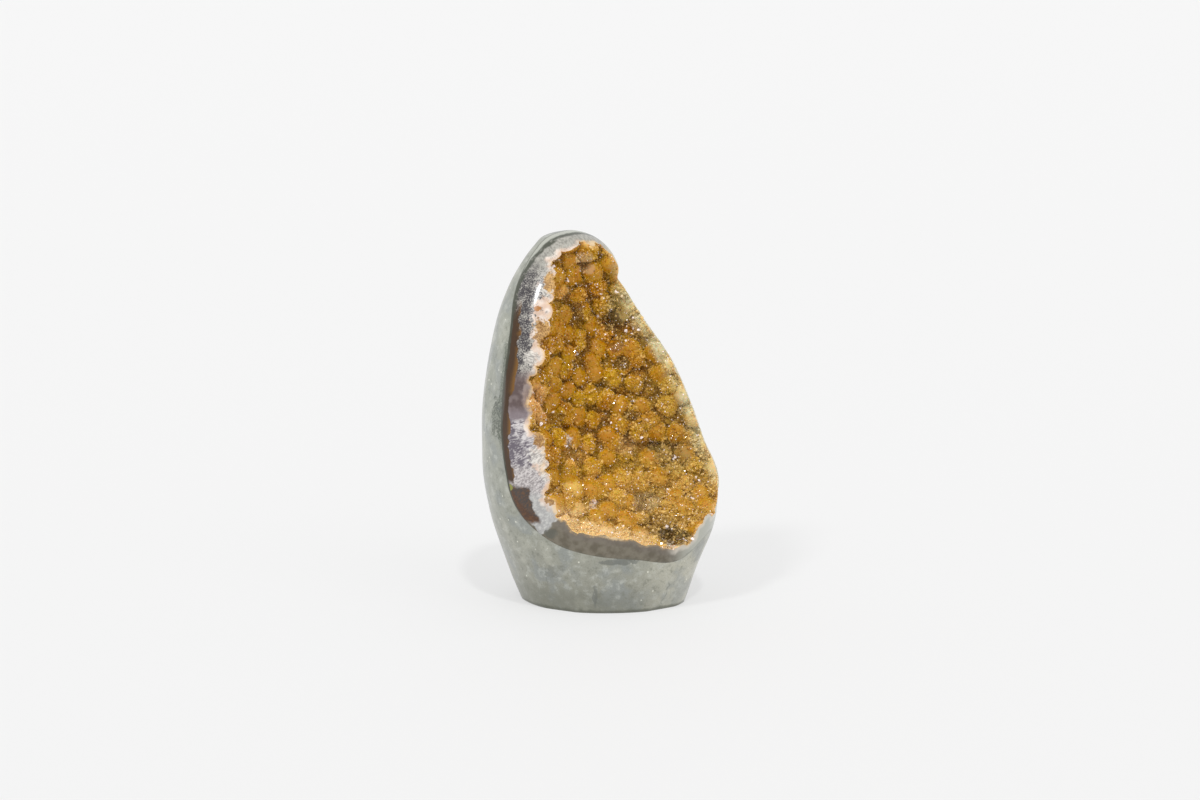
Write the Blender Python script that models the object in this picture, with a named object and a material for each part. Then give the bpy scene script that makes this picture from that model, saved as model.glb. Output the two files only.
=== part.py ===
"""A standing geode: a ground basalt stone, its agate lining, and the crust of quartz crystals in its hollow.

Frame: metres, +Z up, origin in the middle of the flat foot. The stone stands with its widest side along X,
and its hollow looks towards -Y, turned to the right and leaning back a little.

The stone is a ball primitive stretched onto stacked ovals, then ground with flats. The hollow is a second
ball primitive, stretched to a teardrop outline. Grown a little, it cuts the pocket out of the basalt and
gives the agate's back. Shrunk a little, it gives the crust's back. A bumpy dish cuts the crust's lumps.
"""

import math
import random

import bmesh
import bpy
import numpy as np
from mathutils import Vector, noise

MM = 0.001  # the sizes below are written in millimetres

# ---- the ground stone -------------------------------------------------------------------------------
# Each level is an oval through its leftmost, front, rightmost and back points.
# height, then (x, y) of the left, the front, the right and the back
LEVELS = (
    (0.0, (-26.2, 7.0), (1.0, -20.4), (27.0, -3.0), (1.0, 20.0)),
    (12.0, (-30.2, 6.0), (0.5, -24.4), (31.0, -2.5), (1.0, 24.0)),
    (24.0, (-34.0, 4.0), (-2.0, -27.2), (36.0, -0.5), (0.5, 27.0)),
    (33.0, (-36.0, 3.0), (-5.0, -28.0), (37.4, 1.5), (0.0, 28.0)),
    (41.0, (-37.1, 2.5), (-9.0, -27.8), (37.0, 3.0), (-0.5, 28.3)),
    (50.0, (-37.3, 2.0), (-12.0, -27.0), (33.0, 4.0), (-1.0, 28.2)),
    (62.0, (-37.1, 1.5), (-16.0, -24.9), (28.7, 5.0), (-2.0, 27.3)),
    (76.0, (-35.3, 1.5), (-18.0, -21.2), (22.4, 5.5), (-4.5, 25.3)),
    (90.0, (-32.3, 2.2), (-17.5, -16.3), (12.8, 6.5), (-7.0, 22.3)),
    (100.0, (-28.6, 3.0), (-15.8, -11.9), (7.2, 7.0), (-8.0, 20.0)),
    (107.0, (-24.7, 4.0), (-13.5, -8.0), (5.3, 7.0), (-8.3, 17.5)),
    (112.0, (-21.0, 5.0), (-11.5, -4.4), (2.0, 7.0), (-8.4, 14.8)),
    (115.5, (-17.2, 6.0), (-9.8, -0.5), (-3.0, 7.0), (-8.6, 11.5)),
)
TOP = (-9.2, 6.5, 117.0)
OVAL_POWER = 0.94  # 1 gives quarter ellipses, less gives squarer corners
BODY_SEGMENTS = 44
BODY_RINGS = 27

# Grinding flats: compass angle (0 is the front, 90 the right side), angle above the horizon, depth of the cut
FLATS = (
    (-62.0, 8.0, 1.0),
    (-118.0, 0.0, 1.6),
    (-152.0, 22.0, 1.8),
    (178.0, 6.0, 1.6),
    (140.0, 20.0, 1.8),
    (108.0, -6.0, 1.2),
    (172.0, 45.0, 1.6),
    (-85.0, -24.0, 0.7),
    (-28.0, -22.0, 0.8),
    (34.0, -22.0, 0.9),
    (95.0, -26.0, 0.8),
    (158.0, -22.0, 1.5),
    (-140.0, -20.0, 1.5),
)
GRIND = 0.88  # share of what stands past a flat that is ground off

# ---- the hollow -------------------------------------------------------------------------------------
HOLLOW_CENTRE = (2.0, -9.0, 66.5)
HOLLOW_TURN = 30.0  # degrees to the right of -Y
HOLLOW_LEAN = 14.0  # degrees upward
# Radius of the crystals' bed at equal steps round the centre, from the hollow's right side and upwards
BED_OUTLINE = (
    33.0, 31.5, 31.7, 34.0, 40.0, 51.5, 55.0, 50.0, 37.5, 33.0, 30.5, 32.5,
    33.4, 33.4, 33.5, 41.0, 48.5, 46.3, 45.3, 48.8, 47.8, 52.0, 44.7, 37.0,
)
# Width of the agate beyond it, at the same steps
AGATE_WIDTH = (
    0.8, 0.8, 0.8, 0.8, 1.0, 1.6, 3.4, 7.6, 13.8, 8.7, 6.8, 4.0,
    4.5, 8.4, 14.7, 14.5, 2.7, 1.2, 1.4, 1.2, 1.2, 1.0, 0.8, 0.8,
)
HOLLOW_SEGMENTS = 52
HOLLOW_RINGS = 12
BED_DEPTH = 17.0  # of the crystals' bed below the opening's middle
HOLLOW_SWELL = 15.0  # how far in front of that middle the stretched ball has its widest ring
AGATE_THICK = 5.0
GAP = 0.3

# ---- the crystal crust ------------------------------------------------------------------------------
CRUST_RIM = 3.2  # thickness at the rim
CRUST_FLOOR = 5.0  # and in the middle
CRUST_LEAST = 1.0
# The lumpy face is made as far as this in front of the opening's middle, and further towards one side
FACE_REACH = 3.5
FACE_MORE = 9.5
FACE_MORE_SIDE = 276.0  # degrees, counted as in the outline
FACE_CELLS = (46, 72)
RIM_LIFT = 40.0  # how far in front of the opening, clear of the stone, the space inside the crust is closed

# Lumps stand on points of the face's own grid. The first, low on the left, is the large one.
LUMP_STEP = 5.0  # least distance from lump to lump
LUMP_RADII = (2.9, 3.8)
LUMP_RISE = 0.66  # share of its radius that a lump's top stands above the smooth face
SEED = 12
LARGE_LUMP = (-7.0, -28.0, 4.4)  # across, up, radius

SWELL_SIZE = 14.0
SWELL_HEIGHT = 1.5
# Broad forms of the crust, from the hollow's middle: across, up, radius, rise
FORMS = (
    (8.5, 23.0, 6.0, -2.2),
    (13.0, 31.0, 5.0, -1.4),
    (5.5, 41.0, 5.5, 1.8),
    (10.5, 36.0, 3.0, -1.2),
    (-10.0, 17.0, 5.5, 1.6),
    (-7.5, 3.0, 6.5, 1.6),
    (2.5, 10.0, 6.0, 1.2),
    (-12.0, -16.0, 6.0, 1.2),
    (15.0, -44.0, 7.0, -2.4),
    (24.0, -24.0, 7.0, -1.2),
    (26.0, -8.0, 5.0, 1.0),
)


# ---- shared geometry --------------------------------------------------------------------------------
def direction(compass, above):
    """The unit vector that points to a compass angle (0 is -Y, 90 is +X) and an angle above the horizon."""
    turn, rise = math.radians(compass), math.radians(above)
    return np.array([math.sin(turn) * math.cos(rise), -math.cos(turn) * math.cos(rise), math.sin(rise)])


OUTWARD = direction(HOLLOW_TURN, HOLLOW_LEAN)
ACROSS = direction(HOLLOW_TURN + 90, 0)
UPWARD = np.cross(OUTWARD, ACROSS)


def smooth_row(rows, place):
    """A row between those of a table, on a Catmull-Rom curve through them. place counts rows from 0."""
    i = min(int(place), len(rows) - 2)
    t = place - i
    before = rows[i - 1] if i else 2 * rows[0] - rows[1]
    after = rows[i + 2] if i + 2 < len(rows) else 2 * rows[-1] - rows[-2]
    here, after_here = rows[i], rows[i + 1]
    slope = after_here - before
    bend = 2 * before - 5 * here + 4 * after_here - after
    twist = 3 * (here - after_here) + after - before
    return 0.5 * (2 * here + slope * t + bend * t**2 + twist * t**3)


def round_value(stations, turn):
    """A value that runs smoothly round the hollow through equally spaced stations. turn is in radians."""
    place = (turn / math.tau) * len(stations) % len(stations)
    i = int(place)
    ring = np.array([stations[(i + k) % len(stations)] for k in (-1, 0, 1, 2)], float)
    return float(smooth_row(ring, 1 + place - i))


# ---- the stone --------------------------------------------------------------------------------------
def level_rows():
    """LEVELS as rows of 9 numbers, closed by the top point and by the last level mirrored past it."""
    rows = [np.array([h, *left, *front, *right, *back]) for h, left, front, right, back in LEVELS]
    x, y, z = TOP
    rows.append(np.array([z, *(x, y) * 4]))
    rows.append(2 * rows[-1] - rows[-2])
    rows[-1][0] = rows[-3][0]
    return rows


def oval_point(row, turn):
    """The point of an oval level at an angle, which starts at its left and passes its front first."""
    height, left_x, left_y, front_x, front_y, right_x, right_y, back_x, back_y = row
    along = abs(math.cos(turn)) ** OVAL_POWER
    aside = abs(math.sin(turn)) ** OVAL_POWER
    side_x, side_y = (left_x, left_y) if math.cos(turn) > 0 else (right_x, right_y)
    end_x, end_y = (front_x, front_y) if math.sin(turn) > 0 else (back_x, back_y)
    return np.array([end_x + (side_x - end_x) * along, side_y + (end_y - side_y) * aside, height])


def ground(points):
    """The points with the grinding flats cut in, each moved level, so that the foot stays flat."""
    for compass, above, depth in FLATS:
        normal = direction(compass, above)
        reach = points @ normal
        over = np.maximum(0, reach - (reach.max() - depth))
        level = normal * (1, 1, 0)
        points = points - np.outer(over * GRIND, level / (level @ level))
    return points


def ball(segments, rings):
    """A ball primitive of radius 1 about the origin, as a bmesh."""
    mesh = bmesh.new()
    bmesh.ops.create_uvsphere(mesh, u_segments=segments, v_segments=rings, radius=1)
    return mesh


def stone_points(unit):
    """Points of the unit ball, moved onto the stone. The lowest ring is the foot's edge."""
    rows = level_rows()
    top_place = len(rows) - 2
    polar = np.arccos(np.clip(unit[:, 2], -1, 1))  # 0 at the top, pi at the bottom
    foot = math.pi * (1 - 1 / BODY_RINGS)
    placed = []
    for point, down in zip(unit, polar):
        turn = math.atan2(-point[1], -point[0])
        row = smooth_row(rows, top_place * max(0.0, 1 - down / foot))
        placed.append(oval_point(row, turn))
    placed[polar.argmax()] = np.zeros(3)
    return ground(np.array(placed))


# ---- the hollow -------------------------------------------------------------------------------------
def hollow_point(turn, down, grow):
    """A point of the stretched ball. turn runs round the opening, down is 0 at the deepest point."""
    middle = math.sqrt(1 - (HOLLOW_SWELL / (BED_DEPTH + HOLLOW_SWELL)) ** 2)
    radius = round_value(BED_OUTLINE, turn) / middle + grow(turn)
    deep = BED_DEPTH + HOLLOW_SWELL + grow(None)
    away = radius * math.sin(down)
    out = HOLLOW_SWELL - deep * math.cos(down)
    return (
        np.array(HOLLOW_CENTRE)
        + ACROSS * away * math.cos(turn)
        + UPWARD * away * math.sin(turn)
        + OUTWARD * out
    )


def hollow_points(unit, grow):
    """Points of the unit ball, moved onto the stretched ball: the lower pole is its deepest point."""
    placed = []
    for point in unit:
        turn = math.atan2(point[1], point[0])
        down = math.acos(max(-1, min(1, -point[2])))
        placed.append(hollow_point(turn, down, grow))
    return np.array(placed)


def bed(turn):
    """Nothing is added to the crystals' bed."""
    return 0.0


def agate(turn):
    """Agate around the bed: its own width round the rim, and one thickness under the floor."""
    return AGATE_THICK if turn is None else round_value(AGATE_WIDTH, turn)


def face(turn):
    """The crust's face lies inside the bed."""
    return -CRUST_FLOOR if turn is None else -CRUST_RIM


def wider(grow, by):
    """The same growth and a constant more."""
    return lambda turn: grow(turn) + by


# ---- the crust's lumps ------------------------------------------------------------------------------
def face_point(across, up):
    """A point of the crust's smooth face from its place in the unit disc."""
    turn = math.atan2(up, across)
    side = max(0.0, math.cos(turn - math.radians(FACE_MORE_SIDE)))
    reach = FACE_REACH + FACE_MORE * side
    edge = math.acos((HOLLOW_SWELL - reach) / (BED_DEPTH + HOLLOW_SWELL - CRUST_FLOOR))
    return hollow_point(turn, min(1.0, math.hypot(across, up)) * edge, face)


def flat_place(points):
    """(across, up) of points, seen along the hollow's axis from its middle."""
    away = np.atleast_2d(points) - HOLLOW_CENTRE
    return np.stack([away @ ACROSS, away @ UPWARD], axis=-1)


def scatter_lumps(spots):
    """(centres, radii) of the lumps, chosen from the spots by a seeded draw, none too near to another."""
    draw = random.Random(SEED)
    across, up, large_radius = LARGE_LUMP
    large = int(np.linalg.norm(flat_place(spots) - (across, up), axis=1).argmin())
    order = list(range(len(spots)))
    draw.shuffle(order)
    centres, radii = [spots[large]], [large_radius]
    for spot in spots[order]:
        radius = draw.uniform(*LUMP_RADII)
        apart = np.linalg.norm(np.array(centres) - spot, axis=1)
        if np.all(apart > LUMP_STEP * (radius + np.array(radii)) / sum(LUMP_RADII)):
            centres.append(spot)
            radii.append(radius)
    return np.array(centres), np.array(radii)


def rise_over_face(points, centres, radii):
    """How far the crust stands above its smooth face at each point."""
    rises = []
    for point, place in zip(points, flat_place(points)):
        share = np.linalg.norm(centres - point, axis=1) / radii
        domes = radii * LUMP_RISE * (1 - share**2)
        swell = SWELL_HEIGHT * noise.noise(Vector(point / SWELL_SIZE))
        broad = sum(
            rise * math.exp(-(((place[0] - across) ** 2 + (place[1] - up) ** 2) / radius**2))
            for across, up, radius, rise in FORMS
        )
        rises.append(max(0.0, domes.max()) + swell + broad)
    return np.maximum(np.array(rises), CRUST_LEAST - CRUST_RIM)


# ---- making objects ---------------------------------------------------------------------------------
def clear_scene():
    for obj in list(bpy.data.objects):
        bpy.data.objects.remove(obj)


def collection(name, rendered):
    made = bpy.data.collections.new(name)
    made.hide_render = not rendered
    bpy.context.scene.collection.children.link(made)
    return made


def coordinates(mesh):
    return np.array([v.co for v in mesh.verts])


def move_to(mesh, points):
    """Puts a bmesh's vertices at points given in millimetres."""
    for vertex, point in zip(mesh.verts, points):
        vertex.co = point * MM


def finish_object(name, mesh, where):
    """Turns a bmesh into an object, shaded smooth."""
    bmesh.ops.recalc_face_normals(mesh, faces=mesh.faces)
    data = bpy.data.meshes.new(name)
    mesh.to_mesh(data)
    mesh.free()
    data.shade_smooth()
    obj = bpy.data.objects.new(name, data)
    where.objects.link(obj)
    return obj


def helper(name, mesh, where):
    """An object that only cuts or limits another."""
    obj = finish_object(name, mesh, where)
    obj.hide_render = True
    obj.display_type = "WIRE"
    return obj


def make_stone(name, where, make=helper):
    mesh = ball(BODY_SEGMENTS, BODY_RINGS)
    move_to(mesh, stone_points(coordinates(mesh)))
    return make(name, mesh, where)


def make_hollow(name, where, grow, make=helper):
    mesh = ball(HOLLOW_SEGMENTS, HOLLOW_RINGS)
    move_to(mesh, hollow_points(coordinates(mesh), grow))
    return make(name, mesh, where)


def make_open_space(name, where):
    """The open space inside the crust: a grid on the face, raised into lumps and closed far outside."""
    mesh = bmesh.new()
    columns, rows = FACE_CELLS
    bmesh.ops.create_grid(mesh, x_segments=columns, y_segments=rows, size=1)
    smooth = []
    for across, up, _ in coordinates(mesh):
        smooth.append(face_point(across * math.sqrt(1 - up**2 / 2), up * math.sqrt(1 - across**2 / 2)))
    smooth = np.array(smooth)
    move_to(mesh, smooth)
    mesh.normal_update()
    inward = np.array([vertex.normal for vertex in mesh.verts])
    inward *= np.sign((inward @ OUTWARD).mean())
    rise = rise_over_face(smooth, *scatter_lumps(smooth))
    move_to(mesh, smooth + inward * rise[:, None])
    rim = [edge for edge in mesh.edges if edge.is_boundary]
    lifted = bmesh.ops.extrude_edge_only(mesh, edges=rim)["geom"]
    for vertex in (part for part in lifted if isinstance(part, bmesh.types.BMVert)):
        height = (np.array(vertex.co) / MM - HOLLOW_CENTRE) @ OUTWARD
        vertex.co += Vector(OUTWARD * (RIM_LIFT - height) * MM)
    bmesh.ops.holes_fill(mesh, edges=[edge for edge in mesh.edges if edge.is_boundary])
    return helper(name, mesh, where)


def boolean(obj, operation, other):
    modifier = obj.modifiers.new(f"{operation.lower()} {other.name}", "BOOLEAN")
    modifier.operation = operation
    modifier.object = other
    modifier.solver = "EXACT"


def material(name, colour, roughness):
    made = bpy.data.materials.new(name)
    made.use_nodes = True
    made.diffuse_color = (*colour, 1)
    shader = made.node_tree.nodes["Principled BSDF"]
    shader.inputs["Base Color"].default_value = (*colour, 1)
    shader.inputs["Roughness"].default_value = roughness
    shader.inputs["Metallic"].default_value = 0.0
    return made


def build():
    clear_scene()
    parts = collection("geode", True)
    cutters = collection("cutters", False)

    pocket = make_hollow("pocket_cutter", cutters, wider(agate, GAP))
    agate_limit = make_hollow("agate_limit", cutters, agate)
    bed_cutter = make_hollow("bed_cutter", cutters, bed)
    crust_limit = make_hollow("crust_limit", cutters, wider(bed, -GAP))
    open_space = make_open_space("open_space_cutter", cutters)

    basalt = make_stone("basalt", parts, finish_object)
    boolean(basalt, "DIFFERENCE", pocket)
    basalt.data.materials.append(material("basalt", (0.36, 0.37, 0.33), 0.3))

    lining = make_stone("agate_lining", parts, finish_object)
    boolean(lining, "INTERSECT", agate_limit)
    boolean(lining, "DIFFERENCE", bed_cutter)
    lining.data.materials.append(material("agate", (0.24, 0.20, 0.22), 0.12))

    crust = make_stone("crystal_crust", parts, finish_object)
    boolean(crust, "INTERSECT", crust_limit)
    boolean(crust, "DIFFERENCE", open_space)
    crust.data.materials.append(material("golden_quartz", (0.56, 0.29, 0.05), 0.2))


build()
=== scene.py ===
# %% [markdown]
# # A standing geode: basalt, agate and golden crystals
# A geode is a gas bubble in old lava that water has lined with quartz. This one has been cut loose, ground
# to an egg that stands on a flat foot, and polished, with one side left open to show the crystals. The
# packed solids give its true shape. This lesson rebuilds the same three layers finely enough for a close
# look, covers the crystals' lumps with thousands of small points, and gives every layer a finish made of
# nodes.

# %% The packed solids
import math
import random

import bmesh
import bpy
import numpy as np
from mathutils import Euler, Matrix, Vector, noise
from mathutils.bvhtree import BVHTree
from mathutils.kdtree import KDTree


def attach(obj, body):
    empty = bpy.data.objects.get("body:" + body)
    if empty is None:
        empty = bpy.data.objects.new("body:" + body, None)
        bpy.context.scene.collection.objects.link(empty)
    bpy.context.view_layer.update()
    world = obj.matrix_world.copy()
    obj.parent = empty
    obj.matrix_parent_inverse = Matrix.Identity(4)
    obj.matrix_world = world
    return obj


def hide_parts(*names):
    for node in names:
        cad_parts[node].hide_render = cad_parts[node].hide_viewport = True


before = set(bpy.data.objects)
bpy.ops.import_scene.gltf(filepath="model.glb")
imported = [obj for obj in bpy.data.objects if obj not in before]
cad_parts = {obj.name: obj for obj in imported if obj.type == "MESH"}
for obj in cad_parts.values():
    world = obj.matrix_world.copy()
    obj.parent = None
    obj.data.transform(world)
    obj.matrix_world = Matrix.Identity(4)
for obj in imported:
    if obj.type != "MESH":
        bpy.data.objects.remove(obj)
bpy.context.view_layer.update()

MM = 0.001  # sizes below are in millimetres
print("nodes:", sorted(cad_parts))

# %% [markdown]
# ## The camera
# A stone like this is shown on a pale floor in soft light. The camera stands almost level with it, with a
# long lens that keeps the sides upright.

# %% The camera
CAMERA_RISE = 11.0  # degrees above level
CAMERA_AWAY = 900.0
CAMERA_AIM = (0.0, 0.0, 64.0)
LENS = 85.7
SENSOR = 36.0
SIGHT = 100.0  # metres that the camera sees


def place_camera():
    data = bpy.data.cameras.new("camera")
    data.lens = LENS
    data.sensor_width = SENSOR
    data.clip_end = SIGHT
    camera = bpy.data.objects.new("camera", data)
    rise = math.radians(CAMERA_RISE)
    back = Vector((0, -math.cos(rise), math.sin(rise)))
    camera.location = (Vector(CAMERA_AIM) + CAMERA_AWAY * back) * MM
    camera.rotation_euler = Euler((math.radians(90) - rise, 0, 0))
    bpy.context.scene.collection.objects.link(camera)
    bpy.context.scene.camera = camera
    return camera


camera = place_camera()
print("camera at", [round(v, 3) for v in camera.location])

# %% [markdown]
# ## The ground stone
# A grinder leaves a shape that no simple solid has, but every level slice of it is close to an oval. So
# the stone is a stack of ovals, each given by its left, front, right and back points, with smooth curves
# from level to level. Flats then take a little off it, as the grinding wheel did. The numbers are the
# packed solid's own, and more rows and columns make it smooth.

# %% The stone's driving sizes
# height, then (x, y) of the left, the front, the right and the back
LEVELS = (
    (0.0, (-26.2, 7.0), (1.0, -20.4), (27.0, -3.0), (1.0, 20.0)),
    (12.0, (-30.2, 6.0), (0.5, -24.4), (31.0, -2.5), (1.0, 24.0)),
    (24.0, (-34.0, 4.0), (-2.0, -27.2), (36.0, -0.5), (0.5, 27.0)),
    (33.0, (-36.0, 3.0), (-5.0, -28.0), (37.4, 1.5), (0.0, 28.0)),
    (41.0, (-37.1, 2.5), (-9.0, -27.8), (37.0, 3.0), (-0.5, 28.3)),
    (50.0, (-37.3, 2.0), (-12.0, -27.0), (33.0, 4.0), (-1.0, 28.2)),
    (62.0, (-37.1, 1.5), (-16.0, -24.9), (28.7, 5.0), (-2.0, 27.3)),
    (76.0, (-35.3, 1.5), (-18.0, -21.2), (22.4, 5.5), (-4.5, 25.3)),
    (90.0, (-32.3, 2.2), (-17.5, -16.3), (12.8, 6.5), (-7.0, 22.3)),
    (100.0, (-28.6, 3.0), (-15.8, -11.9), (7.2, 7.0), (-8.0, 20.0)),
    (107.0, (-24.7, 4.0), (-13.5, -8.0), (5.3, 7.0), (-8.3, 17.5)),
    (112.0, (-21.0, 5.0), (-11.5, -4.4), (2.0, 7.0), (-8.4, 14.8)),
    (115.5, (-17.2, 6.0), (-9.8, -0.5), (-3.0, 7.0), (-8.6, 11.5)),
)
TOP = (-9.2, 6.5, 117.0)
OVAL_POWER = 0.94  # 1 gives quarter ellipses, less gives squarer corners
# Grinding flats: compass angle (0 is the front, 90 the right side), angle above the horizon, depth
FLATS = (
    (-62.0, 8.0, 1.0),
    (-118.0, 0.0, 1.6),
    (-152.0, 22.0, 1.8),
    (178.0, 6.0, 1.6),
    (140.0, 20.0, 1.8),
    (108.0, -6.0, 1.2),
    (172.0, 45.0, 1.6),
    (-85.0, -24.0, 0.7),
    (-28.0, -22.0, 0.8),
    (34.0, -22.0, 0.9),
    (95.0, -26.0, 0.8),
    (158.0, -22.0, 1.5),
    (-140.0, -20.0, 1.5),
)
# Notches broken from its edge: place, radii, depth
NOTCHES = (((9.5, 3.0, 101.6), (5.0, 10.0, 2.0), 1.7),)
GRIND = 0.88  # share of what stands past a flat that is ground off
STONE_COLUMNS = 416
STONE_ROWS = 248
FINE_STEPS = 40  # steps from level to level, to space the rows evenly
FOOT_EASE = 0.35  # the foot's edge is eased by this much
print(len(LEVELS), "levels,", len(FLATS), "flats, top at", TOP)


# %% Smooth curves through a table
def curve(before, here, after, beyond, t):
    """A Catmull-Rom curve from here to after."""
    slope = after - before
    bend = 2 * before - 5 * here + 4 * after - beyond
    twist = 3 * (here - after) + beyond - before
    return 0.5 * (2 * here + slope * t + bend * t**2 + twist * t**3)


def between_rows(rows, place):
    """Rows between those of a table, at places that count rows from 0."""
    padded = np.vstack([2 * rows[0] - rows[1], rows, 2 * rows[-1] - rows[-2]])
    i = np.clip(place.astype(int), 0, len(rows) - 2)
    return curve(padded[i], padded[i + 1], padded[i + 2], padded[i + 3], (place - i)[:, None])


def round_value(stations, turn):
    """Values that run smoothly round the hollow through equally spaced stations. turn is in radians."""
    stations = np.array(stations)
    count = len(stations)
    place = np.mod(turn / math.tau * count, count)
    i = place.astype(int)
    near = [stations[(i + k) % count] for k in (-1, 0, 1, 2)]
    return curve(*near, place - i)


def direction(compass, above):
    """The unit vector that points to a compass angle (0 is -Y, 90 is +X) and an angle above the horizon."""
    turn, rise = math.radians(compass), math.radians(above)
    return np.array([math.sin(turn) * math.cos(rise), -math.cos(turn) * math.cos(rise), math.sin(rise)])


halfway = between_rows(np.array([[52.0], [61.0]]), np.array([0.5]))
print("a width halfway from 52 to 61:", float(halfway[0, 0]), "mm")

# %% The stone's rings
def level_rows():
    """LEVELS as rows of 9 numbers, closed by the top point and by the last level mirrored past it."""
    rows = [np.array([h, *left, *front, *right, *back]) for h, left, front, right, back in LEVELS]
    x, y, z = TOP
    rows.append(np.array([z, *(x, y) * 4]))
    rows.append(2 * rows[-1] - rows[-2])
    rows[-1][0] = rows[-3][0]
    return np.array(rows)


def oval_points(row, turns):
    """The points of an oval level at angles that start at its left and pass its front first."""
    height, left_x, left_y, front_x, front_y, right_x, right_y, back_x, back_y = row
    along = np.abs(np.cos(turns)) ** OVAL_POWER
    aside = np.abs(np.sin(turns)) ** OVAL_POWER
    on_left, on_front = np.cos(turns) > 0, np.sin(turns) > 0
    side_x, side_y = np.where(on_left, left_x, right_x), np.where(on_left, left_y, right_y)
    end_x, end_y = np.where(on_front, front_x, back_x), np.where(on_front, front_y, back_y)
    x = end_x + (side_x - end_x) * along
    y = side_y + (end_y - side_y) * aside
    return np.stack([x, y, np.full_like(x, height)], axis=1)


def ground(points):
    """The points with the grinding flats cut in, each moved level, so that the foot stays flat."""
    for compass, above, depth in FLATS:
        normal = direction(compass, above)
        reach = points @ normal
        over = np.maximum(0, reach - (reach.max() - depth))
        level = normal * (1, 1, 0)
        points = points - np.outer(over * GRIND, level / (level @ level))
    return points


def notched(points):
    """The points with the broken notches pressed in from the right."""
    for place, radii, depth in NOTCHES:
        share = np.exp(-(((points - place) / radii) ** 2).sum(axis=1))
        points = points - np.outer(depth * share, direction(90, 0))
    return points


def stone_rings():
    """The stone's skin as rings of points, evenly spaced from the foot to just under the top."""
    rows = level_rows()
    top_place = len(rows) - 2
    fine = np.linspace(0, top_place, FINE_STEPS * top_place + 1)
    outline = between_rows(rows, fine)[:, :3]  # height and left point
    length = np.concatenate([[0], np.cumsum(np.linalg.norm(np.diff(outline, axis=0), axis=1))])
    places = np.interp(np.linspace(FOOT_EASE, length[-1], STONE_ROWS + 1)[:-1], length, fine)
    turns = np.arange(STONE_COLUMNS) / STONE_COLUMNS * math.tau
    rings = [oval_points(row, turns) for row in between_rows(rows, places)]
    foot = oval_points(rows[0], turns)
    middle = foot.mean(axis=0)
    inset = 1 - FOOT_EASE / np.linalg.norm(foot - middle, axis=1)
    rings.insert(0, middle + (foot - middle) * inset[:, None])
    return np.array(rings)


rings = stone_rings()
shape = notched(ground(np.vstack([rings.reshape(-1, 3), [[0, 0, 0], TOP]])))
print("stone:", (shape.max(axis=0) - shape.min(axis=0)).round(1), "mm")

# %% [markdown]
# ## The hollow
# The bubble is a flattened, drop-shaped room. It is made as a ball stretched to that outline, seen along
# the direction in which the hollow looks. The same ball, a little larger or smaller, gives the back of the
# agate and the back of the crystals, so the layers nest as they grew.

# %% The hollow's driving sizes
HOLLOW_CENTRE = np.array((2.0, -9.0, 66.5))
HOLLOW_TURN = 30.0  # degrees to the right of -Y
HOLLOW_LEAN = 14.0  # degrees upward
# Radius of the crystals' bed at equal steps round the centre, from the hollow's right side and upwards
BED_OUTLINE = (
    33.0, 31.5, 31.7, 34.0, 40.0, 51.5, 55.0, 50.0, 37.5, 33.0, 30.5, 32.5,
    33.4, 33.4, 33.5, 41.0, 48.5, 46.3, 45.3, 48.8, 47.8, 52.0, 44.7, 37.0,
)
# Width of the agate beyond it, at the same steps
AGATE_WIDTH = (
    0.8, 0.8, 0.8, 0.8, 1.0, 1.6, 3.4, 7.6, 13.8, 8.7, 6.8, 4.0,
    4.5, 8.4, 14.7, 14.5, 2.7, 1.2, 1.4, 1.2, 1.2, 1.0, 0.8, 0.8,
)
BED_DEPTH = 17.0  # of the crystals' bed below the opening's middle
HOLLOW_SWELL = 15.0  # how far in front of that middle the stretched ball has its widest ring
AGATE_THICK = 5.0
HOLLOW_COLUMNS = 240
HOLLOW_RINGS = 96

OUTWARD = direction(HOLLOW_TURN, HOLLOW_LEAN)
ACROSS = direction(HOLLOW_TURN + 90, 0)
UPWARD = np.cross(OUTWARD, ACROSS)
WIDEST = math.sqrt(1 - (HOLLOW_SWELL / (BED_DEPTH + HOLLOW_SWELL)) ** 2)
print("the hollow looks along", OUTWARD.round(2))


# %% The hollow's nested balls
def hollow_points(turn, down, more_wide, more_deep):
    """Points of the stretched ball. turn runs round the opening, and down is 0 at the deepest point."""
    radius = round_value(BED_OUTLINE, turn) / WIDEST + more_wide
    deep = BED_DEPTH + HOLLOW_SWELL + more_deep
    away = radius * np.sin(down)
    out = HOLLOW_SWELL - deep * np.cos(down)
    flat = np.outer(away * np.cos(turn), ACROSS) + np.outer(away * np.sin(turn), UPWARD)
    return HOLLOW_CENTRE + flat + np.outer(out, OUTWARD)


def hollow_rings(more_wide, more_deep):
    """The stretched ball as rings of points, with its deepest and its farthest point."""
    turns = np.arange(HOLLOW_COLUMNS) / HOLLOW_COLUMNS * math.tau
    wide = more_wide(turns)
    downs = np.linspace(0, math.pi, HOLLOW_RINGS + 1)[1:-1]
    rings = [hollow_points(turns, np.full_like(turns, down), wide, more_deep) for down in downs]
    poles = hollow_points(np.zeros(2), np.array([0, math.pi]), 0.0, more_deep)
    return np.array(rings), poles


def agate_width(turns):
    return round_value(AGATE_WIDTH, turns)


def no_width(turns):
    return np.zeros_like(turns)


bed_rings = hollow_rings(no_width, 0.0)
agate_rings = hollow_rings(agate_width, AGATE_THICK)
print("each ball has", len(bed_rings[0]), "rings of", HOLLOW_COLUMNS, "points")


# %% The nested bodies
def mesh_object(name, points, faces):
    """An object from points in millimetres."""
    data = bpy.data.meshes.new(name)
    data.from_pydata((np.asarray(points) * MM).tolist(), [], faces)
    obj = bpy.data.objects.new(name, data)
    bpy.context.scene.collection.objects.link(obj)
    return obj


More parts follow.
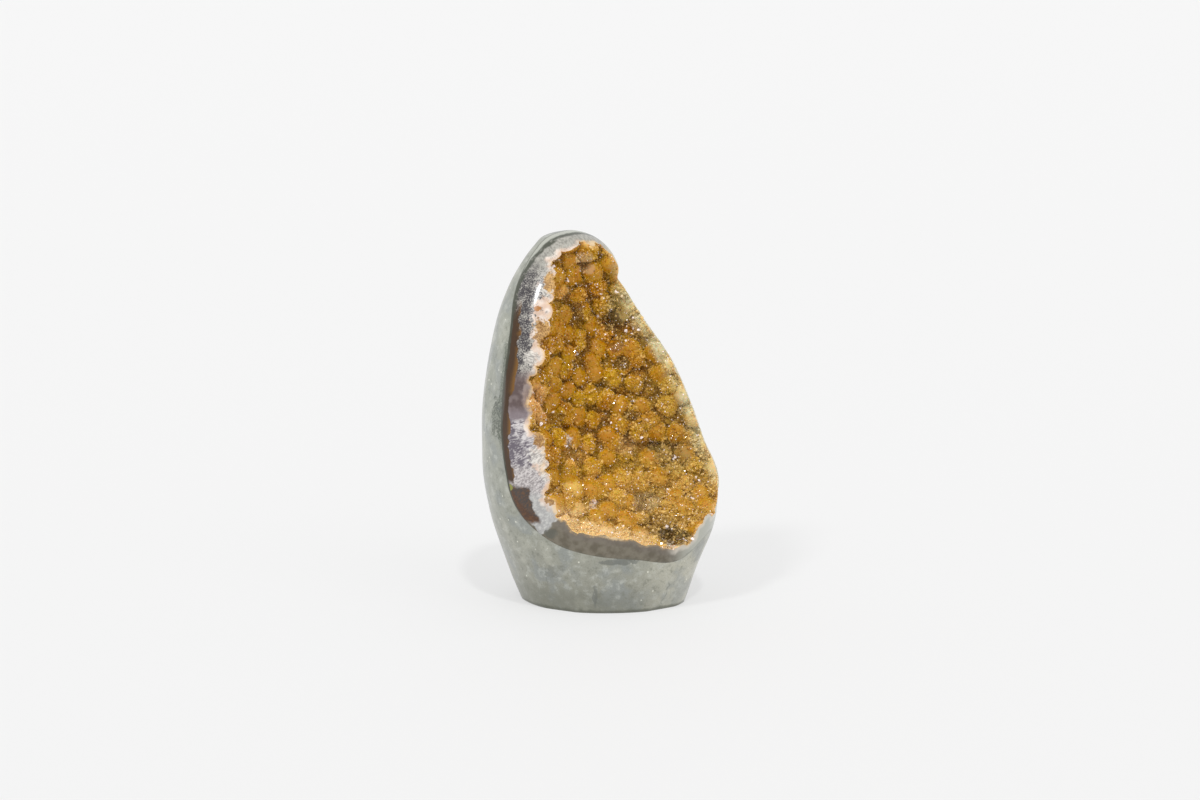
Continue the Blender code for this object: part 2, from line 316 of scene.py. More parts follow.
def solid_object(name, points, faces):
    """A mesh_object whose faces all look outward."""
    obj = mesh_object(name, points, faces)
    mesh = bmesh.new()
    mesh.from_mesh(obj.data)
    bmesh.ops.recalc_face_normals(mesh, faces=mesh.faces)
    mesh.to_mesh(obj.data)
    mesh.free()
    return obj


def closed_body(name, rings, poles):
    """A solid closed at both ends, from rings of points."""
    count, columns, _ = rings.shape
    here = np.arange(columns)
    after = np.roll(here, -1)
    faces = []
    for i in range(count - 1):
        low, high = i * columns, (i + 1) * columns
        faces += np.stack([low + here, low + after, high + after, high + here], axis=1).tolist()
    low_pole, high_pole = count * columns, count * columns + 1
    last = (count - 1) * columns
    faces += [[low_pole, b, a] for a, b in zip(here.tolist(), after.tolist())]
    faces += [[high_pole, last + a, last + b] for a, b in zip(here.tolist(), after.tolist())]
    return solid_object(name, np.vstack([rings.reshape(-1, 3), poles]), faces)


stone_body = closed_body("stone_body", shape[:-2].reshape(rings.shape), shape[-2:])
agate_body = closed_body("agate_body", *agate_rings)
bed_body = closed_body("bed_body", *bed_rings)
for body in (stone_body, agate_body, bed_body):
    print(body.name, len(body.data.polygons), "faces,", (body.dimensions / MM)[:])

# %% [markdown]
# ## The crystals' face
# Quartz that grows on many centres at once makes lumps, packed until they touch. The face of the crust is
# a grid laid in the hollow. Each lump is a dome on it, and where domes overlap the higher one wins, which
# leaves the sharp valleys of the real thing. The lumps stand where the packed solid has them, chosen by
# the same seeded draw, but for some twenty smooth nodules, which have places of their own. Smaller buds
# and some broad swells keep them from looking like one pattern.

# %% The crust's driving sizes
CRUST_RIM = 3.2  # thickness at the rim
CRUST_FLOOR = 5.0  # and in the middle
CRUST_LEAST = 1.0
FACE_REACH = 3.5  # how far in front of the opening's middle the face is made
FACE_MORE = 9.5  # and further towards one side
FACE_MORE_SIDE = 276.0  # degrees, counted as in the outline
FACE_CELLS = (46, 72)  # of the packed solid, whose points carry the lumps
FINE_CELLS = (232, 348)
RIM_LIFT = 40.0  # how far in front of the opening, clear of the stone, the space inside the crust is closed
LUMP_STEP = 5.0  # least distance from lump to lump
LUMP_RADII = (2.9, 3.8)
LUMP_RISE = 0.70  # share of its radius that a lump's top stands above the smooth face
LARGE_LUMP = (-7.0, -28.0, 4.4)  # across, up, radius
SEED = 12
SWELL_SIZE = 14.0
SWELL_HEIGHT = 1.5
# Broad forms of the crust, from the hollow's middle: across, up, radius, rise
FORMS = (
    (8.5, 23.0, 6.0, -2.2),
    (13.0, 31.0, 5.0, -1.4),
    (5.5, 41.0, 5.5, 1.8),
    (10.5, 36.0, 3.0, -1.2),
    (-10.0, 17.0, 5.5, 1.6),
    (-7.5, 3.0, 6.5, 1.6),
    (2.5, 10.0, 6.0, 1.2),
    (-12.0, -16.0, 6.0, 1.2),
    (15.0, -44.0, 7.0, -2.4),
    (24.0, -24.0, 7.0, -1.2),
    (26.0, -8.0, 5.0, 1.0),
    (-20.5, 15.0, 3.0, 1.0),
    (-8.0, 49.0, 4.5, -1.7),
    (-14.0, 43.0, 4.5, -1.7),
    (-16.5, 35.0, 4.5, -1.7),
    (-20.0, 26.0, 4.5, -1.2),
    (-24.5, 16.0, 4.5, -1.0),
    (-28.5, 5.0, 4.5, -1.5),
    (-28.5, -5.0, 4.5, -1.5),
    (-25.5, -14.0, 4.0, -0.9),
    (-25.0, -27.0, 4.0, -0.9),
    (-23.5, -34.0, 4.0, -1.3),
)
# Places of lumps that grew as smooth, glassy nodules: across, up, and for a wide one its radius
SMOOTH_LUMPS = (
    (19.8, 1.9), (17.0, -3.9), (21.1, -12.2), (27.0, -13.3), (22.7, -37.3),
    (6.5, -33.5), (17.9, -20.5), (18.9, -26.6), (0.8, -26.8), (4.4, -11.8),
    (3.8, 23.4), (5.2, 15.9), (2.4, 12.2), (-10.0, 35.1), (14.6, 15.1),
    (13.3, 28.7), (22.6, 6.0), (28.6, -19.8), (-13.6, -26.9, 5.2), (-14.6, -33.5),
)
SMOOTH_SHARE = 0.35  # of the other lumps
# Places along the foot of the crust where it is an even band with hardly any lumps: across, up, radius
EVEN_PLACES = (
    (-19.0, -40.0, 3.5),
    (-13.4, -42.5, 4.0),
    (-6.0, -45.0, 4.0),
    (2.0, -47.0, 4.0),
    (10.0, -48.5, 3.5),
)
EVEN_SHARE = 0.75
EVEN_RISE = 1.0
BUD_COUNT = 1500
BUD_RADII = (0.9, 1.7)
BUD_RISE = 0.42
BUDS_LOST = 0.8  # share of their height that buds lose on a smooth nodule
WANDER = 0.7  # how far the lumps' outlines wander from round
WANDER_SIZE = 2.6
AT_ONCE = 4000  # points worked out together, to save memory
print(len(FORMS), "broad forms,", len(SMOOTH_LUMPS), "placed nodules,", BUD_COUNT, "buds")


# %% The smooth face
def face_points(across, up):
    """Points of the crust's smooth face from their places in the unit disc."""
    turn = np.arctan2(up, across)
    side = np.maximum(0, np.cos(turn - math.radians(FACE_MORE_SIDE)))
    reach = FACE_REACH + FACE_MORE * side
    edge = np.arccos((HOLLOW_SWELL - reach) / (BED_DEPTH + HOLLOW_SWELL - CRUST_FLOOR))
    return hollow_points(turn, np.minimum(1, np.hypot(across, up)) * edge, -CRUST_RIM, -CRUST_FLOOR)


def face_grid(cells):
    """The smooth face as rows of points: a square grid drawn out to a disc, then pressed onto the face."""
    across, up = (np.linspace(-1, 1, count + 1) for count in cells)
    across, up = np.meshgrid(across, up)
    disc_across = across * np.sqrt(1 - up**2 / 2)
    disc_up = up * np.sqrt(1 - across**2 / 2)
    points = face_points(disc_across.ravel(), disc_up.ravel())
    return points.reshape(*across.shape, 3)


def grid_normals(grid):
    """Unit normals of a grid of points, on the side that the hollow looks to."""
    normals = np.cross(np.gradient(grid, axis=1), np.gradient(grid, axis=0))
    normals /= np.linalg.norm(normals, axis=2, keepdims=True) + 1e-12
    return normals * np.sign((normals @ OUTWARD).mean())


def flat_place(points):
    """(across, up) of points, seen along the hollow's axis from its middle."""
    away = points - HOLLOW_CENTRE
    return np.stack([away @ ACROSS, away @ UPWARD], axis=-1)


coarse = face_grid(FACE_CELLS)
smooth = face_grid(FINE_CELLS)
inward = grid_normals(smooth)
cells = np.linalg.norm(np.diff(smooth, axis=1), axis=2)
print("fine face:", smooth.shape, "cells about", cells.mean().round(2), "mm")


# %% Scattering the lumps
def scatter_lumps(spots):
    """(centres, radii) of the lumps, chosen from the spots by a seeded draw, none too near to another."""
    draw = random.Random(SEED)
    across, up, large_radius = LARGE_LUMP
    large = int(np.linalg.norm(flat_place(spots) - (across, up), axis=1).argmin())
    order = list(range(len(spots)))
    draw.shuffle(order)
    centres, radii = [spots[large]], [large_radius]
    for spot in spots[order]:
        radius = draw.uniform(*LUMP_RADII)
        apart = np.linalg.norm(np.array(centres) - spot, axis=1)
        if np.all(apart > LUMP_STEP * (radius + np.array(radii)) / sum(LUMP_RADII)):
            centres.append(spot)
            radii.append(radius)
    return np.array(centres), np.array(radii)


def highest_dome(points, centres, radii):
    """For each point, the height of the highest dome over it and that dome's number."""
    best, which = np.zeros(len(points)), np.zeros(len(points), int)
    for start in range(0, len(points), AT_ONCE):
        part = slice(start, start + AT_ONCE)
        share = np.linalg.norm(points[part][:, None] - centres[None], axis=2) / radii
        heights = radii * np.sqrt(np.clip(1 - share**2, 0, None))
        best[part], which[part] = heights.max(axis=1), heights.argmax(axis=1)
    return best, which


def place_smooth_lumps(centres, radii, spots):
    """Moves the lump nearest to each place for a smooth one onto it. True for lumps that are smooth."""
    smooth_ones = np.random.default_rng(SEED).random(len(centres)) < SMOOTH_SHARE
    centres_flat, spots_flat = flat_place(centres), flat_place(spots)
    for across, up, *radius in SMOOTH_LUMPS:
        number = np.linalg.norm(centres_flat - (across, up), axis=1).argmin()
        centres[number] = spots[np.linalg.norm(spots_flat - (across, up), axis=1).argmin()]
        radii[number] = radius[0] if radius else radii[number]
        smooth_ones[number] = True
    return smooth_ones


lump_centres, lump_radii = scatter_lumps(coarse.reshape(-1, 3))
points = smooth.reshape(-1, 3)
smooth_ones = place_smooth_lumps(lump_centres, lump_radii, points)
print(len(lump_centres), "lumps,", smooth_ones.sum(), "of them smooth")

# %% The lumpy face
def drift(points, size, shift=0.0):
    """Smooth noise about 0 at each point, with features about this size."""
    return np.array([noise.noise(Vector(point)) for point in points / size + shift])


def wander(points):
    """A smooth wandering offset for each point."""
    return WANDER * np.stack([drift(points, WANDER_SIZE, shift) for shift in (0.0, 31.7, 77.3)], axis=1)


def swells(points):
    """The crust's broad rises and hollows."""
    flat = flat_place(points)
    rise = SWELL_HEIGHT * drift(points, SWELL_SIZE)
    for across, up, radius, height in FORMS:
        rise += height * np.exp(-((flat - (across, up)) ** 2).sum(axis=1) / radius**2)
    return rise


def evenness(points):
    """How far the lumps die down at each point, from 0 to about 1."""
    flat = flat_place(points)
    return np.max([np.exp(-((flat - (a, u)) ** 2).sum(axis=1) / r**2) for a, u, r in EVEN_PLACES], axis=0)


bent = points + wander(points)
lumps, which = highest_dome(bent, lump_centres, lump_radii)
# A smooth nodule is smooth on top, and less and less so towards the valleys round it
nodule = smooth_ones[which] * np.clip(2 * lumps / lump_radii[which] - 0.4, 0, 1)
draw = np.random.default_rng(SEED)
bud_centres = points[draw.choice(len(points), BUD_COUNT, replace=False)]
buds = highest_dome(bent, bud_centres, draw.uniform(*BUD_RADII, BUD_COUNT))[0] * (1 - BUDS_LOST * nodule)
even = EVEN_SHARE * evenness(points)
domes = LUMP_RISE * lumps + BUD_RISE * buds
rise = np.maximum(domes * (1 - even) + EVEN_RISE * even + swells(points), CRUST_LEAST - CRUST_RIM)
lumpy = points + inward.reshape(-1, 3) * rise[:, None]
print("the face rises by", rise.min().round(2), "to", rise.max().round(2), "mm")


# %% The space inside the crust
def space_body(name, lumpy, grid_shape):
    """A closed body: the lumpy face, walls from its edge, and a flat lid far in front of the stone."""
    rows, columns = grid_shape
    index = np.arange(rows * columns).reshape(rows, columns)
    corners = [index[:-1, :-1], index[:-1, 1:], index[1:, 1:], index[1:, :-1]]
    faces = np.stack([c.ravel() for c in corners], axis=1).tolist()
    edge = np.concatenate([index[0, :-1], index[:-1, -1], index[-1, :0:-1], index[:0:-1, 0]])
    height = (lumpy[edge] - HOLLOW_CENTRE) @ OUTWARD
    lid = lumpy[edge] + np.outer(RIM_LIFT - height, OUTWARD)
    rim = np.arange(len(edge)) + len(lumpy)
    faces += np.stack([np.roll(edge, -1), edge, rim, np.roll(rim, -1)], axis=1).tolist()
    return solid_object(name, np.vstack([lumpy, lid]), [*faces, rim.tolist()])


space = space_body("space_body", lumpy, smooth.shape[:2])
print(space.name, len(space.data.polygons), "faces")

# %% [markdown]
# ## Cutting the three layers
# The nested bodies are cut from one another with Booleans, which is how the layers meet on the real stone:
# one ground surface runs across all three without a step. The faces keep a number that says which body
# they came from, so that the polished rim and the sparkling face of the crust can have their own finish.
# The packed solids leave a gap of 0.3 mm between layers. Here they touch.

# %% The cuts
ON_STONE, ON_BED, ON_FACE = 0, 1, 2  # where a face of a layer lies: ground surface, inner surface, lumps


def mark(obj, where):
    """Gives all faces of a body their place as material number."""
    for _ in range(3):
        obj.data.materials.append(None)
    obj.data.polygons.foreach_set("material_index", np.full(len(obj.data.polygons), where, np.int32))


def layer(name, cuts):
    """A new object: the stone's body, cut by each (operation, body) in turn."""
    obj = stone_body.copy()
    obj.name = name
    obj.data = stone_body.data.copy()
    bpy.context.scene.collection.objects.link(obj)
    for operation, body in cuts:
        modifier = obj.modifiers.new(f"{operation.lower()} {body.name}", "BOOLEAN")
        modifier.operation = operation
        modifier.object = body
        modifier.solver = "MANIFOLD"
    view = bpy.context.evaluated_depsgraph_get()
    data = bpy.data.meshes.new_from_object(obj.evaluated_get(view))
    data.name = name
    obj.modifiers.clear()
    obj.data = data
    return obj


mark(stone_body, ON_STONE)
mark(agate_body, ON_BED)
mark(bed_body, ON_BED)
mark(space, ON_FACE)
ground_basalt = layer("ground_basalt", [("DIFFERENCE", agate_body)])
agate_layer = layer("agate_layer", [("INTERSECT", agate_body), ("DIFFERENCE", bed_body)])
crystal_bed = layer("crystal_bed", [("INTERSECT", bed_body), ("DIFFERENCE", space)])
for obj in (ground_basalt, agate_layer, crystal_bed):
    where = np.zeros(len(obj.data.polygons), np.int32)
    obj.data.polygons.foreach_get("material_index", where)
    print(obj.name, len(where), "faces:", np.bincount(where).tolist(), (obj.dimensions / MM)[:])

# %% [markdown]
# ## Where a point lies
# The bands of a geode follow its hollow: each keeps its distance from the layer outside it. So every point
# of a layer is told how far in from the basalt it lies and how far out from the crystals, and the finishes
# draw bands from those numbers. The crust's points are told how high they stand on their lump and how far
# they are from the ground surface, since painted shade darkens the valleys and the crust's edge is pale.
# All are kept on the meshes.

# %% Distances
def round_axis(points):
    """(turn, away, out) of points about the axis along which the hollow looks."""
    across, up = flat_place(points).T
    return np.arctan2(up, across), np.hypot(across, up), (points - HOLLOW_CENTRE) @ OUTWARD


def from_basalt(points):
    """How far inside the agate's back points lie, measured towards the hollow's axis."""
    turn, away, out = round_axis(points)
    radius = round_value(BED_OUTLINE, turn) / WIDEST + agate_width(turn)
    deep = BED_DEPTH + HOLLOW_SWELL + AGATE_THICK
    level = np.abs(HOLLOW_SWELL - out)
    wall = radius * np.sqrt(np.clip(1 - (level / deep) ** 2, 0.0, None)) - away
    return wall - np.maximum(0.0, level - deep)


def points_of(obj):
    """The points of an object's mesh in millimetres."""
    flat = np.zeros(len(obj.data.vertices) * 3)
    obj.data.vertices.foreach_get("co", flat)
    return flat.reshape(-1, 3) / MM


def surface_of(obj):
    """An object's surface, ready for nearest-point questions in millimetres."""
    return BVHTree.FromPolygons(points_of(obj).tolist(), [face.vertices[:] for face in obj.data.polygons])


def nearest(points, surface):
    """For each point, its distance from a surface, negative on the inner side."""
    found = [surface.find_nearest(Vector(point)) for point in points]
    spots, normals = (np.array([hit[k][:] for hit in found]) for k in (0, 1))
    apart = points - spots
    return np.linalg.norm(apart, axis=1) * np.sign((apart * normals).sum(axis=1))


def keep(obj, name, values):
    """Stores a number, or a vector, for each point of a mesh."""
    kind, field = ("FLOAT", "value") if values.ndim == 1 else ("FLOAT_VECTOR", "vector")
    attribute = obj.data.attributes.new(name, kind, "POINT")
    attribute.data.foreach_set(field, values.astype(np.float32).ravel())


ground_surface = surface_of(stone_body)
lump_tree = KDTree(len(lumpy))
for i, point in enumerate(lumpy):
    lump_tree.insert(point, i)
lump_tree.balance()
lump_height = domes / (LUMP_RISE * LUMP_RADII[1])


def on_lumps(points):
    """For each point, its height from 0 in a valley to about 1 on a lump, and how smooth that lump is."""
    numbers = [lump_tree.find(point)[1] for point in points]
    return lump_height[numbers], nodule[numbers]


print("heights on the lumps from", lump_height.min(), "to", lump_height.max().round(2))

# %% Keeping them on the layers
RING = 35.0  # a round place on the rim is kept as a point on a ring of this radius

for obj in (ground_basalt, agate_layer, crystal_bed):
    points = points_of(obj)
    turn = round_axis(points)[0]
    inside = from_basalt(points)
    keep(obj, "rim_place", np.stack([RING * np.cos(turn), RING * np.sin(turn), inside], axis=1))
    print(obj.name, "from basalt", inside.min().round(1), "to", inside.max().round(1), "mm")
for obj in (agate_layer, crystal_bed):
    found = [lump_tree.find(point)[2] for point in points_of(obj)]
    keep(obj, "from_crystals", np.array(found))
points = points_of(crystal_bed)
for name, values in zip(("lump_height", "nodule"), on_lumps(points)):
    keep(crystal_bed, name, values)
keep(crystal_bed, "from_rim", -nearest(points, ground_surface))

# %% [markdown]
# ## The crystal points
# The lumps sparkle because each is a brush of quartz points, every one a six-sided pyramid that leans a
# little its own way. Particles would do this quickly, but they are lost on export, so the points are real
# meshes made in one go with arrays: a ring of six corners sunk in the crust, and a tip. Larger points
# stand in the deep places, where crystals had room to grow, and these have the six upright faces of a
# quartz prism as well.

# %% The points' driving sizes
SMALL_POINTS = 27000  # in each of two pieces
SMALL_RADII = (0.15, 0.31)
SMALL_TALL = (1.1, 2.2)  # height in radii
SMALL_LEAN = 0.42
POINTS_OFF_NODULES = 0.78  # share of the points that a smooth nodule goes without
# Past this x and above this height the rim is broken, not ground, and points stand on it.
BROKEN_SIDE = 9.0
BROKEN_FOOT = 36.0
BROKEN_REACH = 0.5  # how far they may stand out
RIM_POINTS = 7000
RIM_RADII = (0.12, 0.26)
RIM_TALL = (0.7, 1.5)
# Places where larger points stand: middle, reach, how many
ROOMS = (
    ((6.0, 9.0, 90.0), 9.0, 260),
    ((23.5, -11.0, 24.0), 9.0, 420),
    ((26.0, 2.0, 42.0), 12.0, 420),
    ((9.0, 6.0, 56.0), 7.0, 90),
    ((0.0, -5.0, 65.0), 70.0, 1300),
)
LARGE_RADII = (0.28, 0.55)
LARGE_UPRIGHT = (0.3, 1.3)  # height of the upright faces, in radii
LARGE_PEAK = 1.25  # height of the peak, in radii
LARGE_LEAN = 0.5
SUNK = 0.4  # depth of a point's foot in the crust, in radii
UNEVEN = (0.78, 1.22)  # from corner to corner
print("up to", 2 * SMALL_POINTS, "small points and", sum(count for _, _, count in ROOMS), "large ones")


# %% Spots on the crust
def face_triangles(obj, where):
    """Corner points, corner normals and areas of an object's triangles that lie on one body's surface."""
    data = obj.data
    data.calc_loop_triangles()
    count = len(data.loop_triangles)
    corners, kinds = np.zeros(count * 3, np.int32), np.zeros(count, np.int32)
    data.loop_triangles.foreach_get("vertices", corners)
    data.loop_triangles.foreach_get("material_index", kinds)
    normals = np.zeros(len(data.vertices) * 3)
    data.vertices.foreach_get("normal", normals)
    corners = corners.reshape(-1, 3)[kinds == where]
    points = points_of(obj)[corners]
    areas = np.linalg.norm(np.cross(points[:, 1] - points[:, 0], points[:, 2] - points[:, 0]), axis=1) / 2
    return points, normals.reshape(-1, 3)[corners], areas


def broken_rim():
    """face_triangles of the rim's broken side."""
    parts = [face_triangles(obj, ON_STONE) for obj in (agate_layer, crystal_bed)]
    points, normals, areas = (np.concatenate([part[k] for part in parts]) for k in range(3))
    middle = points.mean(axis=1)
    return points, normals, areas * ((middle[:, 0] > BROKEN_SIDE) & (middle[:, 2] > BROKEN_FOOT))


def scatter(triangles, count, middle=None, reach=None):
    """Spots spread evenly over triangles, all or those near a middle, with the smooth normal at each."""
    points, normals, areas = triangles
    if middle is not None:
        areas = areas * (np.linalg.norm(points.mean(axis=1) - middle, axis=1) < reach)
    chosen = draw.choice(len(areas), count, p=areas / areas.sum())
    share = draw.dirichlet((1, 1, 1), count)
    spots = (points[chosen] * share[..., None]).sum(axis=1)
    axes = (normals[chosen] * share[..., None]).sum(axis=1)
    return spots, axes / np.linalg.norm(axes, axis=1, keepdims=True)


def leaning(axes, lean):
    """Directions that lean a random way from each axis."""
    axes = axes + draw.normal(0, lean, axes.shape)
    return axes / np.linalg.norm(axes, axis=1, keepdims=True)


crust_face = face_triangles(crystal_bed, ON_FACE)
print("crust face:", round(crust_face[2].sum()), "square mm")


# %% Making points
def hexagons(spots, axes, radii):
    """A turned, slightly uneven ring of six corners round each spot."""
    helper = np.where(np.abs(axes[:, :1]) < 0.7, (1.0, 0.0, 0.0), (0.0, 1.0, 0.0))
    side = np.cross(axes, helper)
    side /= np.linalg.norm(side, axis=1, keepdims=True)
    other = np.cross(axes, side)
    angles = draw.uniform(0, math.tau, len(spots))[:, None] + np.arange(6) * math.tau / 6
    reach = radii[:, None] * draw.uniform(*UNEVEN, angles.shape)
    along, aside = reach * np.cos(angles), reach * np.sin(angles)
    return along[..., None] * side[:, None] + aside[..., None] * other[:, None]


def crystal_points(name, spots, axes, radii, upright, peak):
    """Six-sided points along their axes, with upright faces of one height and a peak of another."""
    tips = spots + axes * (upright + peak)[:, None]
    past = np.where(tips[:, 0] > BROKEN_SIDE, BROKEN_REACH, 0.0)
    height, smoothness = on_lumps(spots)
    kept = nearest(tips, ground_surface) < past
    kept &= draw.random(len(spots)) > POINTS_OFF_NODULES * smoothness
    spots, axes, radii, upright, tips = (part[kept] for part in (spots, axes, radii, upright, tips))
    ring = hexagons(spots, axes, radii)
    levels = [spots[:, None] - (SUNK * radii[:, None] * axes)[:, None] + ring]
    if upright.any():
        levels.append(spots[:, None] + (upright[:, None] * axes)[:, None] + ring)
    stack = np.concatenate([*levels, tips[:, None]], axis=1)
    count, each, _ = stack.shape
    here, after = np.arange(6), np.roll(np.arange(6), -1)
    first = np.arange(count)[:, None, None] * each
    peaks = np.stack([each - 7 + here, each - 7 + after, np.full(6, each - 1)], axis=1)
    faces = (first + peaks).reshape(-1, 3).tolist()
    if upright.any():
        walls = np.stack([here, after, after + 6, here + 6], axis=1)
        faces += (first + walls).reshape(-1, 4).tolist()
    obj = mesh_object(name, stack.reshape(-1, 3), faces)
    keep(obj, "own", np.repeat(draw.random(count), each))
    keep(obj, "lump_height", np.repeat(height[kept], each))
    keep(obj, "nodule", np.repeat(smoothness[kept], each))
    keep(obj, "from_rim", np.repeat(-nearest(spots, ground_surface), each))
    print(name, count, "points,", len(faces), "faces")
    return obj


def brush(name, triangles, count, widths, tall):
    """Small points without upright faces, spread evenly over triangles."""
    spots, axes = scatter(triangles, count)
    radii = draw.uniform(*widths, count)
    peaks = radii * draw.uniform(*tall, count)
    return crystal_points(name, spots, leaning(axes, SMALL_LEAN), radii, 0 * radii, peaks)


def large_points(name):
    """Points with upright faces, more of them where there was room to grow."""
    rooms = [scatter(crust_face, count, middle, reach) for middle, reach, count in ROOMS]
    spots, axes = (np.concatenate([room[k] for room in rooms]) for k in (0, 1))
    radii = draw.uniform(*LARGE_RADII, len(spots))
    upright = radii * draw.uniform(*LARGE_UPRIGHT, len(spots))
    return crystal_points(name, spots, leaning(axes, LARGE_LEAN), radii, upright, radii * LARGE_PEAK)


points_a = brush("crystal_points_a", crust_face, SMALL_POINTS, SMALL_RADII, SMALL_TALL)
points_b = brush("crystal_points_b", crust_face, SMALL_POINTS, SMALL_RADII, SMALL_TALL)
rim_piece = brush("rim_points", broken_rim(), RIM_POINTS, RIM_RADII, RIM_TALL)
large_piece = large_points("large_crystal_points")

# %% [markdown]
# ## Writing finishes as sums
# A finish in Blender is a graph of nodes. Long graphs are hard to read, so here a socket is wrapped in a
# small class that knows plus, minus and times: each sign adds its Math node. Every other node comes from
# one method that takes the node's type, its settings and what goes into its sockets.

# %% A socket that does maths
class Wire:
    """The output of a node, which can be used in sums."""

    def __init__(self, finish, socket):
        self.finish = finish
        self.socket = socket

    def maths(self, operation, *values):
        return self.finish.add("ShaderNodeMath", {"operation": operation}, dict(enumerate(values)))

    def __add__(self, other):
        return self.maths("ADD", self, other)

    def __radd__(self, other):
        return self.maths("ADD", other, self)

    def __sub__(self, other):
        return self.maths("SUBTRACT", self, other)

    def __rsub__(self, other):
        return self.maths("SUBTRACT", other, self)

    def __mul__(self, other):
        return self.maths("MULTIPLY", self, other)

    def __rmul__(self, other):
        return self.maths("MULTIPLY", other, self)

    def __abs__(self):
        return self.maths("ABSOLUTE", self)


def tone(red, green, blue):
    """A colour from its 0 to 255 screen values, as the linear light that shaders work in."""
    parts = [v / 255 for v in (red, green, blue)]
    return (*(p / 12.92 if p <= 0.04045 else ((p + 0.055) / 1.055) ** 2.4 for p in parts), 1.0)


print("mid grey in linear light:", round(tone(128, 128, 128)[0], 3))

# %% A finish
class Finish:
    """A material under construction, with the colour painted on it so far."""

    def __init__(self, name, colour=None):
        self.material = bpy.data.materials.new(name)
        self.material.use_nodes = True
        self.tree = self.material.node_tree
        self.colour = colour

    def add(self, kind, settings=None, sockets=None, out=0):
        """A node, with its settings set first, then its sockets set or linked. Gives one output."""
        node = self.tree.nodes.new(kind)
        for name, value in (settings or {}).items():
            setattr(node, name, value)
        for name, value in (sockets or {}).items():
            self.feed(node.inputs[name], value)
        return Wire(self, node.outputs[out])

    def feed(self, socket, value):
        """Links a wire to a socket, or sets its value. A colour is given as three screen values."""
        if isinstance(value, Wire):
            self.tree.links.new(value.socket, socket)
        else:
            socket.default_value = tone(*value) if socket.type == "RGBA" else value

    def vector(self, operation, *values, out=0):
        return self.add("ShaderNodeVectorMath", {"operation": operation}, dict(enumerate(values)), out)

    def rise(self, value, low, high):
        """0 below low, 1 above high, smooth between. low may be the larger, which turns it round."""
        settings = {"interpolation_type": "SMOOTHSTEP"}
        sockets = {"Value": value, "From Min": low, "From Max": high, "To Min": 0.0, "To Max": 1.0}
        return self.add("ShaderNodeMapRange", settings, sockets, "Result")

    def blend(self, share, first, second):
        """A colour that goes from first to second as share goes from 0 to 1."""
        return self.add("ShaderNodeMix", {"data_type": "RGBA"}, {0: share, 6: first, 7: second}, 2)

    def paint(self, share, colour):
        """Lays a colour over the finish where share is 1."""
        self.colour = self.blend(share, self.colour, colour)

    def bump(self, height, strength, distance):
        sockets = {"Height": height, "Strength": strength, "Distance": distance * MM}
        return self.add("ShaderNodeBump", None, sockets)

    def finished(self, **sockets):
        """The material, once the painted colour and these sockets feed its shader."""
        shader = self.tree.nodes["Principled BSDF"]
        for name, value in {"Base_Color": self.colour, **sockets}.items():
            self.feed(shader.inputs[name.replace("_", " ")], value)
        return self.material


print("a finish has the tools", [name for name in vars(Finish) if "_" not in name])

# %% Places and patterns
class Stone(Finish):
    """A finish that knows where its points are, with patterns drawn there."""

    def __init__(self, name):
        super().__init__(name)
        self.place = self.vector("MULTIPLY", self.add("ShaderNodeTexCoord", out="Object"), (1 / MM,) * 3)

    def axis(self, place, letter):
        return self.add("ShaderNodeSeparateXYZ", None, {"Vector": place}, letter)

    def kept(self, name, out="Fac"):
        """A number stored on the mesh, or with "Vector" a vector."""
        return self.add("ShaderNodeAttribute", {"attribute_name": name}, None, out)

    def grain(self, place, size, detail=3.0, rough=0.5, out=0):
        """Smooth noise from 0 to 1 with features of this size."""
        sockets = {"Vector": place, "Scale": 1 / size, "Detail": detail, "Roughness": rough}
        return self.add("ShaderNodeTexNoise", None, sockets, out)

    def cells(self, place, size, feature="F1"):
        return self.add("ShaderNodeTexVoronoi", {"feature": feature}, {"Vector": place, "Scale": 1 / size})

    def bent(self, place, size, reach):
        """A place moved a little by noise, so that what is drawn with it is ragged."""
        shift = self.vector("SUBTRACT", self.grain(place, size, out="Color"), (0.5,) * 3)
        return self.vector("MULTIPLY_ADD", shift, (2 * reach,) * 3, place)

    def spot(self, place, middle, radii, ragged, size):
        """1 inside a soft-edged, ragged ellipsoid round a middle, 0 outside."""
        away = self.vector("DIVIDE", self.vector("SUBTRACT", place, middle), radii)
        away = self.vector("LENGTH", away, out="Value")
        return self.rise(away + (self.grain(place, size) - 0.5) * (2 * ragged), 1.1, 0.75)

    def paint_spots(self, place, spots, ragged, size=1.6):
        """Paints ragged spots, each with its middle, radii, colour and strength."""
        for middle, radii, colour, strength in spots:
            self.paint(self.spot(place, middle, radii, ragged, size) * strength, colour)


print("and a stone's finish", [name for name in vars(Stone) if "_" not in name])

# %% [markdown]
# ## Basalt
# Under the polish this basalt is grey-green, clouded in soft patches, with fine dark grain, a few pale
# filled bubbles and a speckled, weathered zone where it meets the agate. A stack of noises at the real
# sizes of those features gives it, each laid over the last. The polish is a thin clear coat on a slightly
# rough stone.

# %% Polished basalt
# Darker patches on the basalt, low on the front and one thin one on the left: middle, radii, colour,
# strength
DARK_TONE = (84, 88, 84)
DARK_PATCHES = (
    ((-1.6, -22.5, 6.0), (0.8, 6.0, 4.6), DARK_TONE, 0.5),
    ((-30.2, -17.6, 64.2), (2.4, 3.0, 0.45), DARK_TONE, 0.8),
    ((10.5, -25.0, 19.5), (2.6, 4.0, 1.3), DARK_TONE, 0.5),
    ((5.6, -25.5, 17.9), (6.0, 4.0, 1.2), DARK_TONE, 0.6),
    ((-14.0, -22.0, 14.0), (4.0, 8.0, 2.2), DARK_TONE, 0.3),
)


